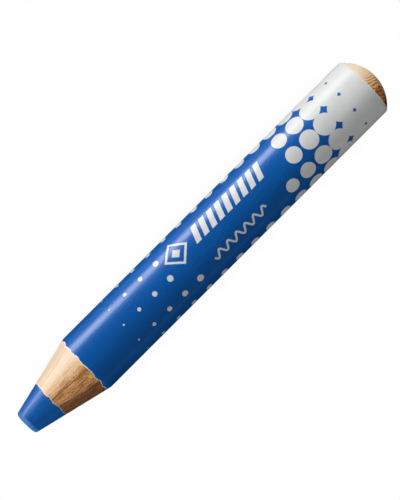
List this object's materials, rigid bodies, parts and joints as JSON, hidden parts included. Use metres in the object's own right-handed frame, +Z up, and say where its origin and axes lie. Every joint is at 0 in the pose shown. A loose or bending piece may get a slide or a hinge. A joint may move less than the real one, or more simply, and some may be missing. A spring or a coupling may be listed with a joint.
{
  "type": "wood-cased wax crayon pencil",
  "caption": "Thick round wood-cased wax crayon: sharpened cone with a blunt core tip, blue lacquered barrel printed with pale dots that grow towards the back, and a domed bare wood end.",
  "frame": {"origin": "the pencil lies on its side; the origin is on the resting surface under the middle of its length", "axes": "+X along the pencil from the writing tip to the domed end, +Z up, the glue seam of the wood is horizontal"},
  "size_m": [0.11, 0.0152, 0.0152],
  "materials": {
    "wax_core": "blue wax, cut by the sharpener, with a soft waxy sheen",
    "casing_wood": "bare fine-grained softwood, cut by the sharpener on the cone and turned on the dome",
    "wood_glue": "dried white wood glue",
    "primer": "white undercoat, seen only as a thin line where the lacquer is cut",
    "blue_lacquer": "smooth glossy blue lacquer",
    "print_ink": "silvery white printing ink on the lacquer, glossy"
  },
  "bodies": {
    "root": {"lead_core": "wax_core", "upper_wood_half": "casing_wood", "lower_wood_half": "casing_wood", "glue_film": "wood_glue", "primer_coat": "primer", "colour_lacquer": "blue_lacquer"}
  },
  "joints": []
}
